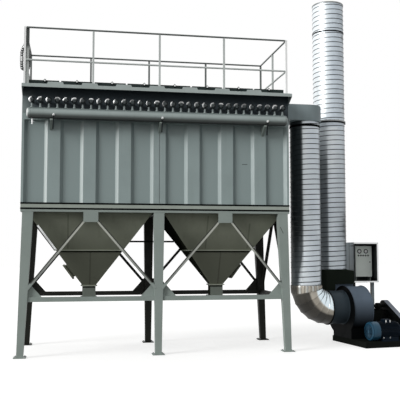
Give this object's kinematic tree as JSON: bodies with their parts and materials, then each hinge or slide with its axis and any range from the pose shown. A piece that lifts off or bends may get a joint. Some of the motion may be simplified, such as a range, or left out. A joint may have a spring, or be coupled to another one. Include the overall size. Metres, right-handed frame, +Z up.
{
  "type": "pulse jet dust collector",
  "caption": "Free-standing pulse jet bag filter: ribbed housing on a braced frame with pyramid hoppers, valve row, roof railing, fan unit, down pipe and exhaust stack.",
  "frame": {"origin": "on the floor under the middle of the housing, the centre of the six feet", "axes": "+X along the valve row towards the fan, +Y to the rear, +Z up"},
  "size_m": [8.5079, 2.7143, 7.905],
  "materials": {
    "frame_paint": "semi-gloss grey paint",
    "housing_paint": "semi-gloss grey paint",
    "header_paint": "gloss grey paint",
    "valve_alloy": "cast, matt",
    "rail_paint": "semi-gloss grey paint",
    "duct_zinc": "galvanised sheet",
    "fan_paint": "semi-gloss dark blue-grey paint",
    "skid_paint": "semi-gloss black paint",
    "shaft_steel": "turned steel",
    "motor_paint": "gloss dark blue paint",
    "cabinet_paint": "powder coated grey"
  },
  "bodies": {
    "plant": {"base_frame_ends": "frame_paint", "base_frame_long": "frame_paint", "bearing_pedestal": "fan_paint", "belt_guard": "skid_paint", "brace_plates": "frame_paint", "braces": "frame_paint", "cabinet_box": "cabinet_paint", "cabinet_stand": "cabinet_paint", "cable_trunking": "cabinet_paint", "clean_air_plenum": "housing_paint", "dirty_air_inlet": "housing_paint", "down_pipe": "duct_zinc", "drain_valve": "valve_alloy", "elbow": "duct_zinc", "end_walls": "housing_paint", "fan_casing": "fan_paint", "fan_inlet": "fan_paint", "fan_shaft": "shaft_steel", "fan_skid": "skid_paint", "header_brackets": "frame_paint", "header_pipe": "header_paint", "hopper_hatches": "housing_paint", "hopper_left": "housing_paint", "hopper_right": "housing_paint", "legs_front": "frame_paint", "legs_rear": "frame_paint", "long_walls": "housing_paint", "motor": "motor_paint", "outlet_box": "housing_paint", "packing_strips": "frame_paint", "pulse_valves": "valve_alloy", "railing_ends": "rail_paint", "railing_sides": "rail_paint", "rain_hood": "housing_paint", "roof_covers": "housing_paint", "roof_plate": "housing_paint", "stack_lower": "duct_zinc", "stack_transition": "fan_paint", "stack_upper": "duct_zinc", "tie_beams_end": "frame_paint", "tie_beams_long": "frame_paint", "top_beams_cross": "frame_paint", "top_beams_long": "frame_paint", "weather_hood": "cabinet_paint"},
    "cabinet_door": {"cabinet_door": "cabinet_paint"}
  },
  "joints": [
    {"name": "cabinet_door_hinge", "type": "hinge", "parent": "plant", "child": "cabinet_door", "pos_m": [4.924, 0.905, 1.8], "axis": [0, 0, -1], "range_deg": [0, 100]}
  ]
}
